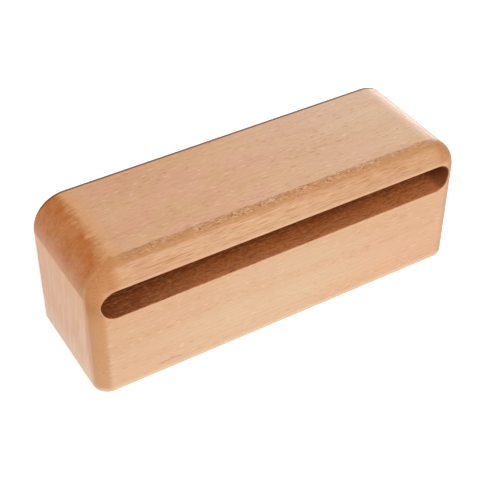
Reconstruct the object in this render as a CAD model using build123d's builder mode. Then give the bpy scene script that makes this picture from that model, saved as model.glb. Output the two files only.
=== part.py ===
"""A woodblock: one solid block of beech with a long tone slot milled into its front face.

Millimetres. +X runs along the block, +Y from the front face to the rear face, +Z up.
The origin is the middle of the base, on the surface that the block stands on.
"""

import os

from build123d import *

# Overall size of the block
length = 200.0
depth = 63.0
height = 73.0

# Rounding of the outside edges
top_corner_radius = 17.0
front_round_over = 8.0
sanded_edge_radius = 2.0

# Tone slot, open at the front, closed at both ends and at the back
slot_height = 15.0
slot_end_margin = 5.3
tone_plate_thickness = 12.4
back_wall_thickness = 15.0
slot_lip_radius = 0.5

# Places worked out from the sizes above
front_plane = Plane.XZ.offset(depth / 2)
front_y = -depth / 2
slot_length = length - 2 * slot_end_margin
slot_depth = depth - back_wall_thickness
slot_centre_height = height - tone_plate_thickness - slot_height / 2

with BuildPart() as block_body:
    # Front outline: square at the base, with a large round at each upper corner
    with BuildSketch(front_plane) as outline:
        with Locations((0, height / 2)):
            Rectangle(length, height)
        fillet(outline.vertices().group_by(Axis.Y)[-1], radius=top_corner_radius)
    extrude(amount=-depth)

    # Round-over along the front outline, up one end, over the top and down the other end
    front_edges = block_body.faces().sort_by(Axis.Y)[0].edges()
    fillet(front_edges.sort_by(Axis.Z)[1:], radius=front_round_over)

    # Light sanding of the rear outline and of the edges round the base
    rear_edges = block_body.faces().sort_by(Axis.Y)[-1].edges()
    base_edges = block_body.faces().sort_by(Axis.Z)[0].edges()
    fillet(rear_edges.sort_by(Axis.Z)[1:] + base_edges, radius=sanded_edge_radius)

    # Tone slot: a blind pocket with round ends, as a cutter of the slot's height leaves it
    with BuildSketch(front_plane):
        with Locations((0, slot_centre_height)):
            SlotOverall(slot_length, slot_height)
    extrude(amount=-slot_depth, mode=Mode.SUBTRACT)

    # The slot's lips are only just broken
    slot_edges = block_body.edges(Select.LAST)
    mouth_edges = slot_edges.filter_by_position(Axis.Y, front_y, front_y + front_round_over)
    fillet(mouth_edges, radius=slot_lip_radius)

block_body.part.label = "block_body"

os.makedirs("parts", exist_ok=True)
export_step(block_body.part, "parts/block_body.step")

volume_cm3 = block_body.part.volume / 1000
print(f"block_body: {len(block_body.part.solids())} solid, {volume_cm3:.1f} cubic centimetres")
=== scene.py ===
"""Looks of a beech woodblock: its lacquered wood, its raw tone slot, and the studio that shows it."""

import math

import bmesh
import bpy
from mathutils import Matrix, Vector


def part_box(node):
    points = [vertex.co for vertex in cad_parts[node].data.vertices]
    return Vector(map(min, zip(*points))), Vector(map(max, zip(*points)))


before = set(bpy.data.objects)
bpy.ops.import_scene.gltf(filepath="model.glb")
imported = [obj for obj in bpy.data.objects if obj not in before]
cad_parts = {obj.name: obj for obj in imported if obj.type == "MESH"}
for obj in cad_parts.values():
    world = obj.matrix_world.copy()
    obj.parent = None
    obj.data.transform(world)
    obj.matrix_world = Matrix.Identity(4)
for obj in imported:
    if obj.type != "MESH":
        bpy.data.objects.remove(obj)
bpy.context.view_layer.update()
BLOCK = "block_body"
BLOCK_LOW, BLOCK_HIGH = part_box(BLOCK)
MM = 0.001

bl_info = {
    "name": "Beech Woodblock",
    "version": (1, 0, 0),
    "blender": (4, 5, 0),
    "location": "3D View > Sidebar > Woodblock",
    "description": "Finishes a milled beech woodblock and sets the studio round it",
    "category": "Object",
}


# Sizes and colours that a user would change

def color_setting(name, description, default):
    """A colour that the sidebar shows, in linear light."""
    return bpy.props.FloatVectorProperty(
        name=name, description=description, subtype="COLOR", size=4, min=0.0, max=1.0,
        default=(*default, 1.0))


def length_setting(name, description, default):
    """A length that the sidebar shows, in metres."""
    return bpy.props.FloatProperty(
        name=name, description=description, unit="LENGTH", min=0.0, precision=4, default=default)


def angle_setting(name, description, degrees):
    """An angle that the sidebar shows in degrees."""
    return bpy.props.FloatProperty(
        name=name, description=description, subtype="ANGLE", default=math.radians(degrees))


def level_setting(name, description, default):
    """A strength or a power that the sidebar shows."""
    return bpy.props.FloatProperty(name=name, description=description, min=0.0, default=default)


class BeechSettings(bpy.types.PropertyGroup):
    """The wood of the block, how it grew and how it was worked, and the painted light and shade in its
    colour.
    """

    wood_color: color_setting(
        "Wood", "Pale wood between the growth lines", (0.785, 0.440, 0.268))
    late_color: color_setting(
        "Late wood", "Darker wood at the end of each year's growth", (0.650, 0.318, 0.150))
    rose_color: color_setting(
        "Rosy wood", "Patches with a pink cast", (0.790, 0.416, 0.272))
    straw_color: color_setting(
        "Straw wood", "Patches with a yellow cast", (0.760, 0.470, 0.228))
    # Paler face wood with a painted sheen: the front face paler low down and towards the left, the top
    # face paler towards the right
    face_and_sheen_color: color_setting(
        "Face wood and sheen", "Front face, paler wood with a painted sheen", (0.740, 0.530, 0.345))
    end_color: color_setting(
        "End wood", "End faces, cut across the grain", (0.870, 0.560, 0.385))
    # Painted highlight: the right-hand rounded end, the rear right of the top, and a painted reflection of
    # the floor low on the end faces
    painted_highlight_color: color_setting(
        "Bare end", "Painted highlight on the right-hand rounded end, the top and low on the end faces", (0.90, 0.70, 0.56))
    dark_color: color_setting(
        "Dark stroke", "Rays and pores that hold dirt", (0.43, 0.15, 0.04))
    pale_color: color_setting(
        "Pale stroke", "Rays that shine", (0.96, 0.63, 0.42))
    soaked_color: color_setting(
        "Soaked grain", "Rounded ends, whose open grain drank lacquer", (0.465, 0.122, 0.010))
    amber_color: color_setting(
        "Amber wood", "Wood beside the soaked grain, yellowed by it", (0.74, 0.36, 0.12))
    routed_color: color_setting(
        "Routed edge", "Front round-over, browned by the cutter", (0.530, 0.256, 0.105))
    torn_color: color_setting(
        "Torn grain", "Marks that the cutter tore beside the top face", (0.27, 0.095, 0.022))
    strip_color: color_setting(
        "Strip", "Planed wood between the round-over and the slot", (0.62, 0.43, 0.26))
    slot_color: color_setting(
        "Slot wood", "Bare wood at the mouth of the slot", (0.450, 0.136, 0.028))
    # Painted shade, darker further into the slot
    slot_shade_color: color_setting(
        "Slot shade", "Painted shade further into the slot", (0.205, 0.038, 0.004))
    # Scorched marks in the slot, painted shade on its end walls, and the slot darker towards its left end
    scorch_and_shade_color: color_setting(
        "Slot scorch and shade", "Scorched marks in the slot, and painted shade on its end walls", (0.17, 0.031, 0.003))
    chip_color: color_setting(
        "Chipped slot", "Fresh chips in the slot", (0.58, 0.21, 0.06))
    # Painted highlight round the base
    foot_highlight_color: color_setting(
        "Base highlight", "Edge round the base, paler with a painted highlight", (0.82, 0.66, 0.50))
    # A thin dark line along the rear edge of the top
    rear_line_color: color_setting(
        "Rear line", "Thin dark line on the rear edge", (0.15, 0.058, 0.018))
    ring_spacing: length_setting("Ring spacing", "Growth in one year", 2.4 * MM)
    pith_behind: length_setting(
        "Pith behind", "From the block's middle back to the tree's centre", 20 * MM)
    pith_below: length_setting("Pith below", "From the base down to the tree's centre", 110 * MM)
    stroke_length: length_setting(
        "Stroke length", "Room that one stroke takes along the grain", 5 * MM)
    stroke_width: length_setting(
        "Stroke width", "Room that one stroke takes across the grain", 0.9 * MM)
    check_from_end: length_setting(
        "Check from end", "From the left end to the crack on the front", 28 * MM)
    check_length: length_setting("Check length", "Length of the crack on the front", 18 * MM)
    check_height: length_setting("Check height", "Height of the crack above the base", 6.7 * MM)
    corner_radius: length_setting("Corner radius", "Rounding of the two upper ends", 17 * MM)
    round_over: length_setting("Round-over", "Rounding of the front face's edge", 8 * MM)
    slot_height: length_setting("Slot height", "Height of the tone slot", 15 * MM)
    slot_end_margin: length_setting(
        "Slot end margin", "From each end of the block to the slot", 5.3 * MM)
    tone_plate: length_setting("Tone plate", "Wood above the slot", 12.4 * MM)
    back_wall: length_setting("Back wall", "Wood behind the slot", 15 * MM)


class StudioSettings(bpy.types.PropertyGroup):
    """The floor, the light and the camera."""

    azimuth: angle_setting("Azimuth", "Camera's turn about the block, from its front", -30.729)
    elevation: angle_setting("Elevation", "Camera's height above the horizon", 40.312)
    distance: length_setting("Distance", "From the camera to the point it aims at", 0.56998)
    aim: bpy.props.FloatVectorProperty(
        name="Aim", description="Point at the middle of the picture", subtype="XYZ", unit="LENGTH",
        size=3, default=(-0.00692, -0.00012, 0.03221))
    lens: level_setting("Lens", "Focal length in millimetres on a 36 mm sensor", 87.257)
    floor_size: length_setting("Floor size", "Side of the floor", 6.0)
    floor_color: color_setting("Floor", "Paper under the block", (0.80, 0.80, 0.80))
    floor_lift: level_setting(
        "Floor lift", "How far the paper is lifted towards white where it is seen", 0.66)
    room_level: level_setting("Room light", "Even light from all round", 0.20)
    front_watts: level_setting("Front light", "Power of the soft box in front and above", 17.0)
    left_watts: level_setting("Left light", "Power of the soft box on the left", 6.2)
    rear_watts: level_setting("Rear light", "Power of the soft box behind, on the right", 3.4)
    rim_watts: level_setting("Rim light", "Power of the low strip behind, on the right", 3.0)


# Helpers for node trees

SOCKET_KINDS = {"value": "NodeSocketFloat", "vector": "NodeSocketVector"}

# A Mix node's colour sockets, by number because its other sockets share their names
MIX_FIRST, MIX_SECOND, MIX_RESULT = 6, 7, 2


class Nodes:
    """A node tree. Each method adds one step to it and gives back the step's result."""

    def __init__(self, tree):
        self.tree = tree

    def feed(self, source, socket):
        """Links another node's socket, or sets a plain value."""
        if isinstance(source, bpy.types.NodeSocket):
            self.tree.links.new(source, socket)
        else:
            socket.default_value = source

    def calc(self, operation, *values):
        """One sum."""
        node = self.tree.nodes.new("ShaderNodeMath")
        node.operation = operation
        for value, socket in zip(values, node.inputs):
            self.feed(value, socket)
        return node.outputs["Value"]

    def times(self, first, *others):
        """Values or masks multiplied together."""
        product = first
        for other in others:
            product = self.calc("MULTIPLY", product, other)
        return product

    def ramp(self, value, low, high, start=0.0, end=1.0):
        """Smooth step from start to end as value goes from low to high."""
        node = self.tree.nodes.new("ShaderNodeMapRange")
        node.interpolation_type = "SMOOTHSTEP"
        names = ("Value", "From Min", "From Max", "To Min", "To Max")
        for name, part in zip(names, (value, low, high, start, end)):
            self.feed(part, node.inputs[name])
        return node.outputs["Result"]

    def combine(self, x, y, z):
        """A vector from three values."""
        node = self.tree.nodes.new("ShaderNodeCombineXYZ")
        for value, socket in zip((x, y, z), node.inputs):
            self.feed(value, socket)
        return node.outputs["Vector"]

    def split(self, vector):
        """The three values of a vector."""
        node = self.tree.nodes.new("ShaderNodeSeparateXYZ")
        self.feed(vector, node.inputs["Vector"])
        return node.outputs["X"], node.outputs["Y"], node.outputs["Z"]

    def stretch(self, vector, scale):
        """The same place with each axis multiplied by its own factor."""
        node = self.tree.nodes.new("ShaderNodeVectorMath")
        node.operation = "MULTIPLY"
        self.feed(vector, node.inputs[0])
        self.feed(scale, node.inputs[1])
        return node.outputs["Vector"]

    def length(self, vector):
        """How long a vector is."""
        node = self.tree.nodes.new("ShaderNodeVectorMath")
        node.operation = "LENGTH"
        self.feed(vector, node.inputs[0])
        return node.outputs["Value"]

    def noise(self, vector, detail=2.0, roughness=0.5):
        """Noise from 0 to 1, with about one hill to each unit of length."""
        node = self.tree.nodes.new("ShaderNodeTexNoise")
        settings = {"Vector": vector, "Scale": 1.0, "Detail": detail, "Roughness": roughness}
        for name, value in settings.items():
            self.feed(value, node.inputs[name])
        return node.outputs["Fac"]

    def place(self, group, **values):
        """Puts a group into the tree, feeds its inputs, and gives back its outputs."""
        node = self.tree.nodes.new("ShaderNodeGroup")
        node.node_tree = group
        for name, value in values.items():
            self.feed(value, node.inputs[name])
        return node.outputs


def new_group(name, inputs, outputs):
    """An empty node group with the given sockets, and the sockets of its two end nodes."""
    tree = bpy.data.node_groups.new(name, "ShaderNodeTree")
    for socket_name, kind in inputs.items():
        tree.interface.new_socket(socket_name, in_out="INPUT", socket_type=SOCKET_KINDS[kind])
    for socket_name in outputs:
        tree.interface.new_socket(socket_name, in_out="OUTPUT", socket_type=SOCKET_KINDS["value"])
    start = tree.nodes.new("NodeGroupInput")
    finish = tree.nodes.new("NodeGroupOutput")
    return tree, start.outputs, finish.inputs


# How the wood grew

# Sideways drift of the grain for each metre along it, and how far the rings wander
GRAIN_LEAN = 0.022
RING_WANDER = 3.4 * MM
WANDER_SCALE = (9.0, 34.0, 34.0)

# Part of a year by which one year's growth can run ahead of another, and how often that changes
YEAR_SHIFT = 1.6
YEAR_CHANGE = 0.37


def make_wood_axes(settings):
    """Group: places round the tree and out from its pith."""
    tree, inputs, outputs = new_group("Wood axes", {"Position": "vector"}, ("Around", "Radius"))
    nodes = Nodes(tree)
    along, across, up = nodes.split(inputs["Position"])
    wander = nodes.noise(nodes.stretch(inputs["Position"], WANDER_SCALE))
    lean = nodes.calc("MULTIPLY", along, GRAIN_LEAN)
    behind = nodes.calc("SUBTRACT", nodes.calc("SUBTRACT", across, settings.pith_behind), lean)
    above = nodes.calc("ADD", up, settings.pith_below)
    squares = nodes.calc("ADD", nodes.times(behind, behind), nodes.times(above, above))
    radius = nodes.calc("MULTIPLY_ADD", wander, RING_WANDER, nodes.calc("SQRT", squares))
    mean_radius = math.hypot(settings.pith_behind, settings.pith_below + BLOCK_HIGH.z / 2)
    around = nodes.times(nodes.calc("ARCTAN2", behind, above), mean_radius)
    nodes.feed(around, outputs["Around"])
    nodes.feed(radius, outputs["Radius"])
    return tree


def make_growth_rings():
    """Group: how far each year's growth has come, dark at its end."""
    tree, inputs, outputs = new_group(
        "Growth rings", {"Radius": "value", "Spacing": "value"}, ("Late wood",))
    nodes = Nodes(tree)
    years = nodes.calc("DIVIDE", inputs["Radius"], inputs["Spacing"])
    uneven = nodes.noise(nodes.combine(nodes.times(years, YEAR_CHANGE), 0.0, 0.0), detail=1.0)
    season = nodes.calc("FRACT", nodes.calc("MULTIPLY_ADD", uneven, YEAR_SHIFT, years))
    rise = nodes.ramp(season, 0.30, 0.93)
    drop = nodes.ramp(season, 0.94, 1.0, 1.0, 0.0)
    nodes.feed(nodes.times(rise, drop), outputs["Late wood"])
    return tree


# How much the noise rises from the edge of a stroke to its full colour
STROKE_EDGE = 0.10


def make_strokes():
    """Group: dark and pale strokes of a given length and width, fewer as Gap grows."""
    tree, inputs, outputs = new_group(
        "Strokes",
        {"Position": "vector", "Length": "value", "Width": "value", "Gap": "value"},
        ("Dark", "Pale"))
    nodes = Nodes(tree)
    along, across, up = nodes.split(inputs["Position"])
    place = nodes.combine(
        nodes.calc("DIVIDE", along, inputs["Length"]),
        nodes.calc("DIVIDE", across, inputs["Width"]),
        nodes.calc("DIVIDE", up, inputs["Width"]))
    wave = nodes.calc("SUBTRACT", nodes.noise(place, detail=1.0), 0.5)
    full = nodes.calc("ADD", inputs["Gap"], STROKE_EDGE)
    nodes.feed(nodes.ramp(nodes.times(wave, -1.0), inputs["Gap"], full), outputs["Dark"])
    nodes.feed(nodes.ramp(wave, inputs["Gap"], full), outputs["Pale"])
    return tree


# Where each tool left its mark

SLOT_ZONES = ("Slot", "Slot depth", "Slot end")
OUTER_ZONES = (
    "Soaked end", "Amber end", "Bare end", "End face", "End stain", "Routed edge", "Strip", "Torn edge",
    "Corner", "Upright edge", "Top face", "Front face", "Rear edge", "Foot", "Check")

# How far the torn grain makes the round-over's marks wander, as a part of the round-over
RAGGED_SHARE = 0.20

# How far the open grain makes the soaked ends wander, finely and in steps, as parts of the corner's radius
FRAYED_SHARE = 0.60
STEPPED_SHARE = 0.40

# How far the crack wanders up and down
CHECK_WANDER = 3 * MM


class Surface(Nodes):
    """Each place on the block: where it lies, which way it faces, and how far round an edge it is."""

    def __init__(self, tree, inputs, settings):
        super().__init__(tree)
        self.settings = settings
        self.x, self.y, self.z = self.split(inputs["Position"])
        self.nx, self.ny, self.nz = self.split(inputs["Normal"])
        self.out = self.calc("ABSOLUTE", self.x)
        self.end = self.calc("ABSOLUTE", self.nx)
        self.front = self.times(self.ny, -1.0)
        fray = self.calc("SUBTRACT", inputs["Fray"], 0.5)
        self.ragged = self.calc("SUBTRACT", inputs["Ragged"], 0.5)

        # Where the rounded ends, the round-over and the slot begin
        self.straight = BLOCK_HIGH.x - settings.corner_radius
        self.end_top = BLOCK_HIGH.z - settings.corner_radius
        self.tangent = BLOCK_LOW.y + settings.round_over
        self.slot_top = BLOCK_HIGH.z - settings.tone_plate
        self.slot_foot = self.slot_top - settings.slot_height

        # How far round a corner or over the front edge: 0 on the top face, 1 on the other face
        past_straight = self.calc("SUBTRACT", self.out, self.straight)
        self.round_end = self.calc("DIVIDE", past_straight, settings.corner_radius)
        stepped_end = self.calc("MULTIPLY_ADD", self.ragged, STEPPED_SHARE, self.round_end)
        self.frayed_end = self.calc("MULTIPLY_ADD", fray, FRAYED_SHARE, stepped_end)
        past_tangent = self.calc("SUBTRACT", self.tangent, self.y)
        over = self.calc("DIVIDE", past_tangent, settings.round_over)
        self.over = self.calc("MULTIPLY_ADD", self.ragged, RAGGED_SHARE, over)
        self.fainter_right = self.ramp(self.x, 0.0, 50 * MM, 1.0, 0.65)


def slot_zones(at):
    """The slot, inside its round-ended outline and in front of the back wall, its depth and its ends."""
    half_height = at.settings.slot_height / 2
    half_run = BLOCK_HIGH.x - at.settings.slot_end_margin - half_height
    middle = at.slot_top - half_height + 0.1 * MM
    beyond = at.calc("MAXIMUM", at.calc("SUBTRACT", at.out, half_run), 0.0)
    reach = at.length(at.combine(beyond, at.calc("SUBTRACT", at.z, middle), 0.0))
    inside = at.ramp(reach, half_height + 0.2 * MM, half_height + 0.5 * MM, 1.0, 0.0)
    ahead = at.calc("LESS_THAN", at.y, BLOCK_HIGH.y - at.settings.back_wall / 2)
    slot = at.times(inside, ahead)
    return {
        "Slot": slot,
        # Deeper into the slot, where painted shade goes
        "Slot depth": at.times(slot, at.ramp(at.y, BLOCK_LOW.y + 1 * MM, BLOCK_LOW.y + 20 * MM)),
        # End walls of the slot, where painted shade goes
        "Slot end": at.times(slot, at.ramp(at.end, 0.15, 0.75)),
    }


def end_zones(at):
    """The rounded ends, soaked on the left and painted with a highlight on the right, and the end faces.
    """
    limits = (
        at.ramp(at.z, at.end_top - 1.5 * MM, at.end_top + 0.5 * MM),
        at.ramp(at.y, BLOCK_LOW.y + 5 * MM, BLOCK_LOW.y + 10 * MM, 0.15, 1.0),
        at.ramp(at.ny, 0.4, 0.9, 1.0, 0.0),
        at.ramp(at.x, -20 * MM, 20 * MM, 1.0, 0.15))
    # Painted sheen: the soaked grain shows less on the lower part of the rounded ends
    sheen_down = at.ramp(at.nz, 0.10, 0.62, 0.80, 1.0)
    end_face = at.ramp(at.end, 0.975, 0.999)
    return {
        "Soaked end": at.times(at.ramp(at.frayed_end, -0.01, 0.42), sheen_down, *limits),
        "Amber end": at.times(at.ramp(at.frayed_end, -0.40, 0.10), *limits),
        # Painted highlight on the right-hand rounded end
        "Bare end": at.times(at.ramp(at.nx, 0.25, 0.65), at.ramp(at.nz, 0.05, 0.35)),
        "End face": end_face,
        # Upper end faces, where the painted floor reflection fades and the wood is painted darker and more
        # amber
        "End stain": at.times(end_face, at.ramp(at.z, 38 * MM, at.end_top + 2 * MM)),
    }


def round_over_zones(at):
    """The front round-over: torn beside the top face, brown below that, and paler above the slot."""
    band = at.ramp(at.over, 0.56, 0.68, 1.0, 0.0)
    paler = at.ramp(at.front, 0.70, 0.98, 0.68, 0.42)
    browner = at.calc(
        "MAXIMUM", at.ramp(at.round_end, 0.02, 0.42), at.ramp(at.x, 0.0, 70 * MM, 0.0, 0.50))
    below = at.calc("MULTIPLY_ADD", at.calc("SUBTRACT", 1.0, paler), browner, paler)
    above_slot = at.ramp(at.z, at.slot_top + 0.5 * MM, at.slot_top + 3 * MM)
    on_run = at.ramp(at.out, at.straight - 2 * MM, at.straight + 6 * MM, 1.0, 0.0)
    return {
        "Routed edge": at.times(
            at.calc("MAXIMUM", band, below), at.ramp(at.over, -0.09, -0.01), above_slot),
        "Strip": at.times(at.ramp(at.front, 0.58, 0.72), above_slot, on_run),
        "Torn edge": at.times(
            at.ramp(at.over, 0.65, 0.15),
            at.ramp(at.over, -0.16, -0.05),
            at.ramp(at.z, BLOCK_HIGH.z - 6 * MM, BLOCK_HIGH.z - 4 * MM),
            at.ramp(at.out, at.straight - 6 * MM, at.straight + 4 * MM, 1.0, 0.15),
            at.ramp(at.x, -80 * MM, -20 * MM, 0.55, 1.0),
            at.ramp(at.x, 30 * MM, 85 * MM, 1.0, 0.45)),
    }


def corner_zones(at):
    """Where the round-over goes round the upper corners, and down the ends."""
    turn = at.times(at.end, at.front, 2.0)
    beside = at.times(
        at.ramp(at.y, at.tangent + 2.5 * MM, at.tangent, 0.0, 0.45), at.ramp(at.end, 0.9, 1.0))
    return {
        "Corner": at.times(
            at.ramp(at.round_end, 0.0, 0.4),
            at.ramp(at.front, 0.08, 0.30),
            at.ramp(at.z, at.end_top - 14 * MM, at.end_top - 2 * MM),
            at.ramp(at.front, 0.75, 0.95, 1.0, 0.5),
            at.fainter_right),
        "Upright edge": at.times(
            at.calc("MAXIMUM", at.ramp(turn, 0.08, 0.80), beside),
            at.ramp(at.z, 0.0, 55 * MM, 0.7, 1.0),
            at.fainter_right),
    }


def face_zones(at):
    """The top and front faces, the rear edge of the top, the foot, and one crack low on the front."""
    under_slot = at.ramp(at.z, at.slot_foot - 0.5 * MM, at.slot_foot, 1.0, 0.0)
    front_face = at.times(at.ramp(at.front, 0.90, 0.995), under_slot)
    check_start = BLOCK_LOW.x + at.settings.check_from_end
    check_end = check_start + at.settings.check_length
    check_line = at.calc("MULTIPLY_ADD", at.ragged, CHECK_WANDER, at.settings.check_height)
    off_line = at.calc("ABSOLUTE", at.calc("SUBTRACT", at.z, check_line))
    return {
        "Top face": at.ramp(at.nz, 0.85, 0.98),
        "Front face": front_face,
        "Rear edge": at.times(
            at.ramp(at.y, BLOCK_HIGH.y - 2.8 * MM, BLOCK_HIGH.y - 2.1 * MM),
            at.ramp(at.nz, 0.45, 0.8)),
        # Band round the base that carries a painted highlight
        "Foot": at.ramp(at.z, 1.2 * MM, 4.5 * MM, 1.0, 0.0),
        "Check": at.times(
            at.ramp(off_line, 0.1 * MM, 0.4 * MM, 1.0, 0.0),
            at.ramp(at.x, check_start, check_start + 4 * MM),
            at.ramp(at.x, check_end - 6 * MM, check_end, 1.0, 0.0),
            front_face),
    }


def make_block_zones(settings):
    """Group: one mask for each zone, from the surface's place and direction."""
    tree, inputs, outputs = new_group(
        "Block zones",
        {"Position": "vector", "Normal": "vector", "Fray": "value", "Ragged": "value"},
        OUTER_ZONES + SLOT_ZONES)
    at = Surface(tree, inputs, settings)
    in_slot = slot_zones(at)
    for name, mask in in_slot.items():
        at.feed(mask, outputs[name])
    outside = at.calc("SUBTRACT", 1.0, in_slot["Slot"])
    for zones in (end_zones, round_over_zones, corner_zones, face_zones):
        for name, mask in zones(at).items():
            at.feed(at.times(mask, outside), outputs[name])
    return tree


# The block's finish

# Kinds of strokes: multiples of the stroke's length and width, and the gap between strokes
STROKE_KINDS = {
    "strokes": (1.0, 1.0, 0.115),
    "streaks": (2.2, 1.0, 0.05),
    "hairlines": (1.4, 0.7, 0.05),
    "threads": (8.0, 0.65, 0.10),
    "mottle": (0.45, 1.1, 0.04),
    "chatter": (0.216, 1.0, 0.05),
}

# Kinds of patches: hills to the metre along, across and up the block, detail and roughness
PATCH_KINDS = {
    "fray": ((60.0, 520.0, 520.0), 4.0, 0.65),
    "ragged": ((260.0, 120.0, 120.0), 3.0, 0.6),
    "blotches": ((90.0, 110.0, 110.0), 2.0, 0.5),
    "cast": ((45.0, 70.0, 70.0), 1.0, 0.5),
    "shade": ((16.0, 120.0, 120.0), 2.0, 0.5),
    "clusters": ((110.0, 0.0, 0.0), 2.0, 0.5),
}

# Patches across the rays: hills to the metre round the tree and out from its pith, and detail
RAY_PATCHES = {"rays": (380.0, 45.0, 2.0), "blush": (190.0, 60.0, 1.0)}

# Roughness of the lacquer, between its streaks and in them, and what raw or worked wood adds
LACQUER_ROUGHNESS = 0.39
STREAK_ROUGHNESS = 0.46
DULLER_ZONES = {"Slot": 0.35, "Corner": 0.20, "Upright edge": 0.20, "Rear edge": 0.40}
LACQUER_IOR = 1.42

RELIEF_STRENGTH = 0.4
RELIEF_DEPTH = 0.05 * MM


class Canvas(Nodes):
    """The block's material while it is painted: its grain, its zones and its colour so far."""

    def __init__(self, tree, beech):
        super().__init__(tree)
        self.beech = beech
        self.color = beech.rose_color
        position = tree.nodes.new("ShaderNodeTexCoord").outputs["Object"]
        normal = tree.nodes.new("ShaderNodeNewGeometry").outputs["Normal"]
        self.x, self.y, self.z = self.split(position)

        axes = self.place(make_wood_axes(beech), Position=position)
        rings = self.place(make_growth_rings(), Radius=axes["Radius"], Spacing=beech.ring_spacing)
        self.late_wood = rings["Late wood"]
        self.rays = self.across_rays(axes, self.x, *RAY_PATCHES["rays"])
        self.blush = self.across_rays(axes, self.y, *RAY_PATCHES["blush"])

        group = make_strokes()
        self.dark, self.pale = {}, {}
        for kind, (longer, wider, gap) in STROKE_KINDS.items():
            marks = self.place(
                group, Position=position, Length=beech.stroke_length * longer,
                Width=beech.stroke_width * wider, Gap=gap)
            self.dark[kind], self.pale[kind] = marks["Dark"], marks["Pale"]
        self.patches = {}
        for kind, (scale, detail, roughness) in PATCH_KINDS.items():
            self.patches[kind] = self.noise(self.stretch(position, scale), detail, roughness)

        self.zones = self.place(
            make_block_zones(beech), Position=position, Normal=normal,
            Fray=self.patches["fray"], Ragged=self.patches["ragged"])
        clustered = self.ramp(self.patches["clusters"], 0.38, 0.56, 0.30, 1.0)
        self.torn = self.times(self.zones["Torn edge"], clustered)

    def across_rays(self, axes, along, around, outwards, detail):
        """Patches that follow the rays of the wood, by their hills to the metre."""
        place = self.combine(
            self.times(axes["Around"], around), self.times(axes["Radius"], outwards), along)
        return self.noise(place, detail)

    def paint(self, over, *shares):
        """Paints another colour over, as far as the shares multiplied together say."""
        node = self.tree.nodes.new("ShaderNodeMix")
        node.data_type = "RGBA"
        self.feed(self.times(*shares), node.inputs["Factor"])
        self.feed(self.color, node.inputs[MIX_FIRST])
        self.feed(over, node.inputs[MIX_SECOND])
        self.color = node.outputs[MIX_RESULT]

    def draw(self, kind, within, dark_color, darker, pale_color, lighter):
        """Draws the dark and the pale strokes of one kind within a mask."""
        self.paint(dark_color, self.dark[kind], within, darker)
        self.paint(pale_color, self.pale[kind], within, lighter)


def paint_plain_wood(wood):
    """Patches, years, and faces that are paler or browner: painted sheen on the front face, painted shade
    on its right, and a painted highlight on the top face.
    """
    beech, x, y, z = wood.beech, wood.x, wood.y, wood.z
    front, top = wood.zones["Front face"], wood.zones["Top face"]
    wood.paint(beech.straw_color, wood.ramp(wood.patches["cast"], 0.35, 0.65))
    wood.paint(beech.wood_color, 0.5)
    # Painted sheen on the front face, paler low down and towards the left, over paler face wood
    sheen_low = wood.ramp(z, 45 * MM, 20 * MM, 0.25, 0.85)
    sheen_left = wood.ramp(x, 0.0, 80 * MM, 1.0, 0.40)
    wood.paint(beech.face_and_sheen_color, front, sheen_low, sheen_left)
    wood.paint(beech.strip_color, front, wood.ramp(z, 12 * MM, 42 * MM, 0.08, 0.50))
    wood.paint(beech.late_color, front, wood.ramp(x, -30 * MM, -80 * MM, 0.0, 0.12))
    # Painted shade: the front face darker towards the right, where the front lamp's light falls off
    wood.paint(beech.late_color, front, wood.ramp(x, 0.0, 80 * MM, 0.0, 0.22))
    # Painted highlight on the top face, paler towards the right and the rear
    wood.paint(beech.face_and_sheen_color, top, wood.ramp(x, -20 * MM, 90 * MM, 0.0, 0.45))
    highlight_rear = wood.ramp(y, -10 * MM, 22 * MM, 0.0, 0.20)
    highlight_right = wood.ramp(x, -30 * MM, 50 * MM)
    wood.paint(beech.painted_highlight_color, top, highlight_rear, highlight_right)
    wood.paint(beech.late_color, wood.late_wood, 0.15)
    wood.paint(beech.late_color, wood.ramp(wood.patches["shade"], 0.35, 0.75, 0.0, 0.30))
    wood.paint(beech.late_color, wood.ramp(x, 20 * MM, BLOCK_LOW.x, 0.0, 0.25))


def paint_strokes(wood):
    """Strokes along the grain, where the plane cut rays and pores, and the crack."""
    beech, zones = wood.beech, wood.zones
    drawn = wood.times(
        wood.calc("SUBTRACT", 1.0, zones["End face"]),
        wood.ramp(wood.patches["shade"], 0.35, 0.65, 0.55, 1.0),
        wood.ramp(zones["Front face"], 0.0, 1.0, 1.0, 0.74))
    wood.draw("strokes", drawn, beech.dark_color, 0.48, beech.pale_color, 0.62)
    wood.draw("streaks", drawn, beech.dark_color, 0.08, beech.pale_color, 0.10)
    wood.paint(beech.torn_color, zones["Check"], 0.60)


def paint_ends(wood):
    """End faces, where the rays stand upright, paler towards the front and the base with a painted
    reflection of the floor.
    """
    beech, zones = wood.beech, wood.zones
    # Painted reflection of the floor, paler towards the base and the front; the rays add upright streaks
    low = wood.ramp(wood.z, 30 * MM, 4 * MM, -0.12, 0.35)
    reflection_near = wood.ramp(wood.y, 5 * MM, BLOCK_LOW.y, -0.08, 0.20)
    upright = wood.ramp(wood.rays, 0.38, 0.62, -0.58, 0.78)
    paler = wood.calc("ADD", wood.calc("ADD", low, reflection_near), upright)
    wood.paint(beech.end_color, zones["End face"], paler)
    wood.paint(beech.rose_color, zones["End face"], wood.ramp(wood.blush, 0.42, 0.62, 0.0, 0.40))
    # Painted reflection of the floor, paler low on the end faces
    wood.paint(beech.painted_highlight_color, zones["End face"], wood.ramp(wood.z, 20 * MM, 3 * MM, 0.0, 0.60))
    wood.paint(beech.late_color, zones["End face"], 0.32)
    # Darker and more amber towards the top of the end faces, where the painted reflection fades
    wood.paint(beech.amber_color, zones["End stain"], 0.55)
    # Painted highlight on the right-hand rounded end
    wood.paint(beech.painted_highlight_color, zones["Bare end"], 0.55)


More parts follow.
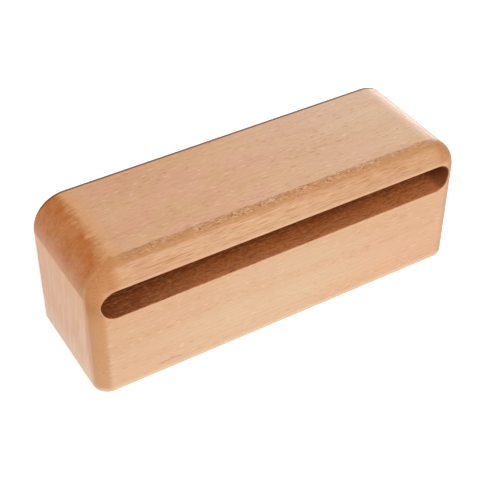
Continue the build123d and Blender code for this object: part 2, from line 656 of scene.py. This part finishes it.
def paint_worked_edges(wood):
    """What the tools and the lacquer did to the edges, with a painted highlight round the base and a thin
    dark line on the rear edge.
    """
    beech, zones = wood.beech, wood.zones
    wood.paint(beech.strip_color, zones["Strip"], 0.5)
    wood.paint(beech.routed_color, zones["Routed edge"])
    darker_left = wood.ramp(wood.x, -40 * MM, -80 * MM, 0.0, 0.30)
    wood.paint(beech.dark_color, zones["Routed edge"], darker_left)
    wood.paint(beech.routed_color, zones["Upright edge"], 0.92)
    wood.paint(beech.dark_color, zones["Corner"], 0.48)
    wood.paint(beech.amber_color, zones["Amber end"], 0.6)
    patchy = wood.times(
        wood.ramp(wood.patches["fray"], 0.25, 0.75, 0.80, 1.0),
        wood.ramp(wood.patches["blotches"], 0.35, 0.65, 0.82, 1.06))
    wood.paint(beech.soaked_color, zones["Soaked end"], patchy)
    # Painted highlight round the base
    wood.paint(beech.foot_highlight_color, zones["Foot"], 0.7)
    # Thin dark line along the rear edge
    wood.paint(beech.rear_line_color, zones["Rear edge"], 0.92)


def paint_opened_grain(wood):
    """Grain that the cutter opened: streaks above the slot, torn marks beside the top face."""
    beech, zones = wood.beech, wood.zones
    wood.draw("hairlines", zones["Strip"], beech.dark_color, 0.34, beech.pale_color, 0.16)
    wood.paint(beech.dark_color, wood.dark["threads"], zones["Strip"], 0.45)
    wood.paint(beech.late_color, wood.torn, 0.80)
    wood.draw("mottle", wood.torn, beech.torn_color, 0.42, beech.pale_color, 0.50)
    wood.draw("chatter", wood.torn, beech.torn_color, 0.90, beech.amber_color, 0.40)
    bruised = wood.calc("MULTIPLY_ADD", zones["Corner"], 0.6, zones["Soaked end"])
    wood.paint(beech.torn_color, wood.dark["mottle"], bruised, 0.30)
    wood.paint(beech.torn_color, wood.dark["hairlines"], zones["Routed edge"], 0.20)


def paint_slot(wood):
    """Bare wood, with painted light at the mouth, painted shade further in and on the end walls, darker at
    the left end, and chipped by the cutter.
    """
    beech, zones = wood.beech, wood.zones
    wood.paint(beech.slot_color, zones["Slot"])
    # Painted shade, darker further into the slot
    wood.paint(beech.slot_shade_color, zones["Slot depth"])
    # Painted light at the mouth of the slot, paler towards the front
    lit_mouth = wood.ramp(wood.y, BLOCK_LOW.y + 9 * MM, BLOCK_LOW.y + 1 * MM, 0.0, 0.09)
    wood.paint(beech.pale_color, zones["Slot"], lit_mouth)
    # Darker towards the left end of the slot
    wood.paint(beech.scorch_and_shade_color, zones["Slot"], wood.ramp(wood.x, BLOCK_LOW.x, -30 * MM, 0.90, 0.0))
    wood.paint(beech.chip_color, zones["Slot"], wood.ramp(wood.x, 20 * MM, 70 * MM, 0.0, 0.15))
    # Painted shade on the slot's end walls
    wood.paint(beech.scorch_and_shade_color, zones["Slot end"], 0.75)
    chipped = wood.times(zones["Slot"], wood.ramp(zones["Slot end"], 0.0, 1.0, 1.0, 0.3))
    for kind, share in (("hairlines", 0.38), ("mottle", 0.36), ("strokes", 0.45)):
        wood.draw(kind, chipped, beech.scorch_and_shade_color, share, beech.chip_color, share)


def wood_roughness(wood):
    """Satin outside, dull where the wood is raw or was worked hard."""
    roughness = wood.ramp(wood.dark["streaks"], 0.0, 1.0, LACQUER_ROUGHNESS, STREAK_ROUGHNESS)
    for zone, duller in DULLER_ZONES.items():
        roughness = wood.calc("MULTIPLY_ADD", wood.zones[zone], duller, roughness)
    return roughness


def wood_relief(wood):
    """Shallow relief of the strokes and the torn marks."""
    height = wood.calc("SUBTRACT", wood.pale["streaks"], wood.dark["strokes"])
    height = wood.calc("SUBTRACT", height, wood.times(wood.torn, wood.dark["chatter"]))
    node = wood.tree.nodes.new("ShaderNodeBump")
    node.inputs["Strength"].default_value = RELIEF_STRENGTH
    node.inputs["Distance"].default_value = RELIEF_DEPTH
    wood.feed(height, node.inputs["Height"])
    return node.outputs["Normal"]


def make_beech(settings):
    """The block's one material: satin lacquer outside, raw wood in the slot."""
    material = bpy.data.materials.new("beech_satin_lacquer")
    material.use_nodes = True
    shader = material.node_tree.nodes["Principled BSDF"]
    wood = Canvas(material.node_tree, settings)
    paint_plain_wood(wood)
    paint_strokes(wood)
    paint_ends(wood)
    paint_worked_edges(wood)
    paint_opened_grain(wood)
    paint_slot(wood)
    wood.feed(wood.color, shader.inputs["Base Color"])
    wood.feed(wood_roughness(wood), shader.inputs["Roughness"])
    wood.feed(wood_relief(wood), shader.inputs["Normal"])
    shader.inputs["IOR"].default_value = LACQUER_IOR
    return material


# The stage

# Where each soft box stands, and its width and height, in metres
SOFT_BOXES = {
    "front": ((0.05, -1.10, 0.95), 0.9, 0.9),
    "left": ((-1.25, 0.10, 0.45), 0.9, 0.9),
    "rear": ((1.05, 0.75, 0.60), 1.0, 1.0),
    "rim": ((0.98, 0.98, 0.085), 0.7, 0.15),
}

WHITE = (1.0, 1.0, 1.0, 1.0)
SENSOR_WIDTH = 36.0


def seen_rays(nodes):
    """1 for rays that the eye follows, straight, mirrored or through glass."""
    path = nodes.tree.nodes.new("ShaderNodeLightPath")
    mirrored = nodes.calc("MAXIMUM", path.outputs["Is Camera Ray"], path.outputs["Is Glossy Ray"])
    return nodes.calc("MAXIMUM", mirrored, path.outputs["Is Transmission Ray"])


def make_floor_paper(settings):
    """White paper that keeps a shadow, lifted towards white where it is seen."""
    material = bpy.data.materials.new("floor_paper")
    material.use_nodes = True
    tree = material.node_tree
    tree.nodes.clear()
    nodes = Nodes(tree)
    paper = tree.nodes.new("ShaderNodeBsdfDiffuse")
    paper.inputs["Color"].default_value = settings.floor_color
    lift = tree.nodes.new("ShaderNodeEmission")
    nodes.feed(nodes.times(seen_rays(nodes), settings.floor_lift), lift.inputs["Strength"])
    both = tree.nodes.new("ShaderNodeAddShader")
    nodes.feed(paper.outputs["BSDF"], both.inputs[0])
    nodes.feed(lift.outputs["Emission"], both.inputs[1])
    finish = tree.nodes.new("ShaderNodeOutputMaterial")
    nodes.feed(both.outputs["Shader"], finish.inputs["Surface"])
    return material


def make_floor(settings):
    """A white sheet under the block."""
    mesh = bpy.data.meshes.new("floor")
    shape = bmesh.new()
    bmesh.ops.create_grid(shape, x_segments=1, y_segments=1, size=settings.floor_size / 2)
    shape.to_mesh(mesh)
    shape.free()
    mesh.materials.append(make_floor_paper(settings))
    floor = bpy.data.objects.new("floor", mesh)
    bpy.context.scene.collection.objects.link(floor)


def make_world(settings):
    """Even white light from all round, seen as plain white."""
    world = bpy.data.worlds.new("studio")
    world.use_nodes = True
    nodes = Nodes(world.node_tree)
    background = world.node_tree.nodes["Background"]
    background.inputs["Color"].default_value = WHITE
    strength = nodes.ramp(seen_rays(nodes), 0.0, 1.0, settings.room_level, 1.0)
    nodes.feed(strength, background.inputs["Strength"])
    bpy.context.scene.world = world


def make_soft_box(name, place, wide, high, watts):
    """A soft light that faces the middle of the block."""
    lamp = bpy.data.lights.new(name, "AREA")
    lamp.shape = "RECTANGLE"
    lamp.size = wide
    lamp.size_y = high
    lamp.energy = watts
    box = bpy.data.objects.new(name, lamp)
    box.location = place
    target = Vector((0.0, 0.0, BLOCK_HIGH.z / 2))
    box.rotation_euler = (target - Vector(place)).to_track_quat("-Z", "Y").to_euler()
    bpy.context.scene.collection.objects.link(box)


def make_camera(settings):
    """The camera, turned about the point that it aims at."""
    camera = bpy.data.cameras.new("camera")
    camera.sensor_width = SENSOR_WIDTH
    camera.lens = settings.lens
    eye = bpy.data.objects.new("camera", camera)
    turn, rise = settings.azimuth, settings.elevation
    back = Vector((math.sin(turn) * math.cos(rise), -math.cos(turn) * math.cos(rise), math.sin(rise)))
    eye.location = Vector(settings.aim) + back * settings.distance
    eye.rotation_euler = (-back).to_track_quat("-Z", "Y").to_euler()
    bpy.context.scene.collection.objects.link(eye)
    bpy.context.scene.camera = eye


# Operators and panel

class WOODBLOCK_OT_finish_block(bpy.types.Operator):
    """Gives the block its beech, its lacquer and its raw slot"""

    bl_idname = "woodblock.finish_block"
    bl_label = "Finish Block"

    def execute(self, context):
        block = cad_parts[BLOCK]
        block.material_slots[0].material = make_beech(context.scene.beech)
        return {"FINISHED"}


class WOODBLOCK_OT_set_stage(bpy.types.Operator):
    """Lays the floor, sets the lights and places the camera"""

    bl_idname = "woodblock.set_stage"
    bl_label = "Set Stage"

    def execute(self, context):
        studio = context.scene.studio
        make_floor(studio)
        make_world(studio)
        for name, (place, wide, high) in SOFT_BOXES.items():
            make_soft_box(name, place, wide, high, getattr(studio, name + "_watts"))
        make_camera(studio)
        context.scene.view_settings.view_transform = "Standard"
        return {"FINISHED"}


class WOODBLOCK_PT_panel(bpy.types.Panel):
    """The woodblock's settings and steps"""

    bl_idname = "WOODBLOCK_PT_panel"
    bl_label = "Woodblock"
    bl_space_type = "VIEW_3D"
    bl_region_type = "UI"
    bl_category = "Woodblock"

    def draw(self, context):
        for title, group in (("Wood", context.scene.beech), ("Studio", context.scene.studio)):
            box = self.layout.box()
            box.label(text=title)
            for name in group.__annotations__:
                box.prop(group, name)
        for operator in STEPS:
            self.layout.operator(operator.bl_idname)


STEPS = (WOODBLOCK_OT_finish_block, WOODBLOCK_OT_set_stage)
CLASSES = (BeechSettings, StudioSettings, *STEPS, WOODBLOCK_PT_panel)


def register():
    for cls in CLASSES:
        bpy.utils.register_class(cls)
    bpy.types.Scene.beech = bpy.props.PointerProperty(type=BeechSettings)
    bpy.types.Scene.studio = bpy.props.PointerProperty(type=StudioSettings)


def unregister():
    del bpy.types.Scene.studio
    del bpy.types.Scene.beech
    for cls in reversed(CLASSES):
        bpy.utils.unregister_class(cls)


def main():
    register()
    bpy.ops.woodblock.finish_block()
    bpy.ops.woodblock.set_stage()


if __name__ == "__main__":
    main()
